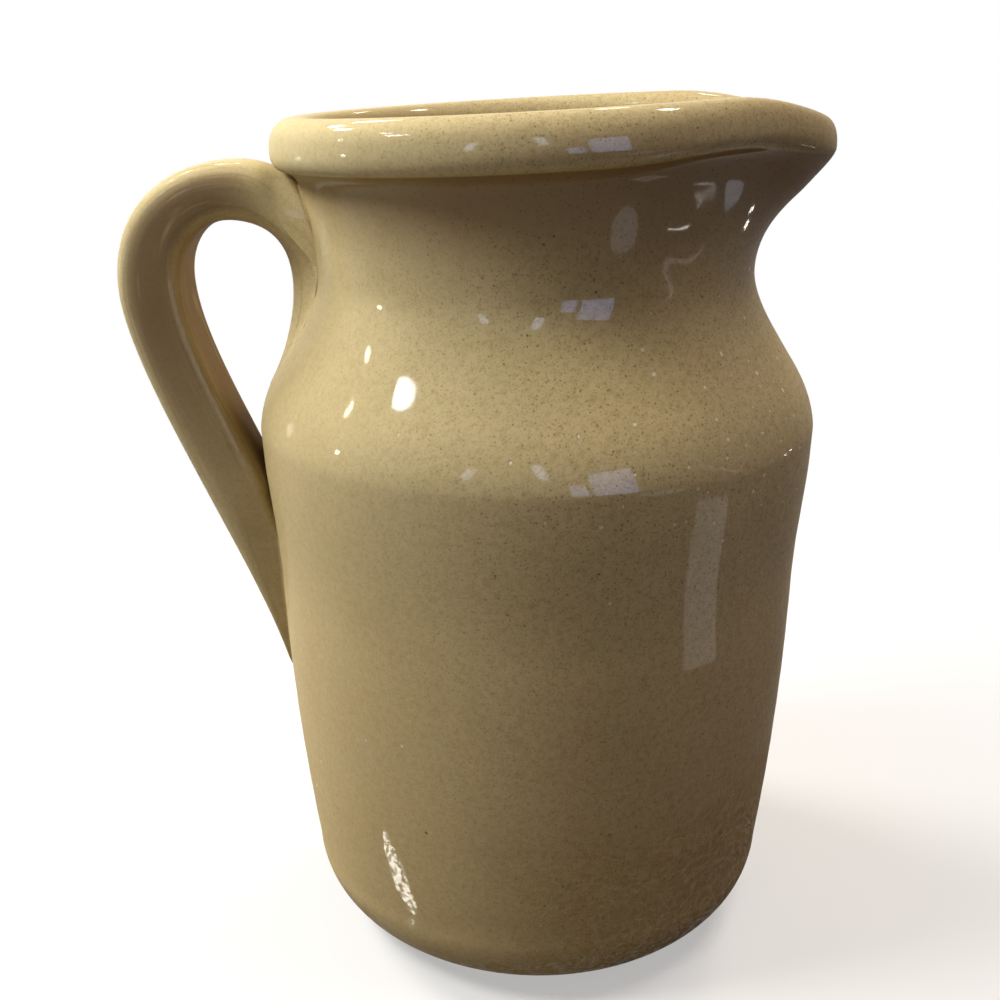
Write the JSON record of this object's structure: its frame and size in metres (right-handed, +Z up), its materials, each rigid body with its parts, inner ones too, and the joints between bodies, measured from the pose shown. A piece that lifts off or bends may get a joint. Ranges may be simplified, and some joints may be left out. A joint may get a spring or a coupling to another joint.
{
  "type": "stoneware pitcher",
  "caption": "Thrown stoneware pitcher with a rounded base, sloping shoulder, rolled rim, pulled pouring lip and one strap handle opposite the lip, glazed tan with fine iron specks.",
  "frame": {"origin": "middle of the flat foot, on the pot's axis and on the surface that it stands on", "axes": "+Z up along the pot's axis, +X towards the pouring lip, the handle towards -X"},
  "size_m": [0.1873, 0.15, 0.2307],
  "materials": {
    "glazed_body": "glossy tan glaze with fine dark iron specks, bare clay under the foot",
    "glazed_handle": "glossy tan glaze, a little thinner and browner along the strap's edges",
    "slip": "fired joining slip, covered by the same glaze where it shows"
  },
  "bodies": {
    "root": {"body": "glazed_body", "handle": "glazed_handle", "upper_slip": "slip", "lower_slip": "slip"}
  },
  "joints": []
}
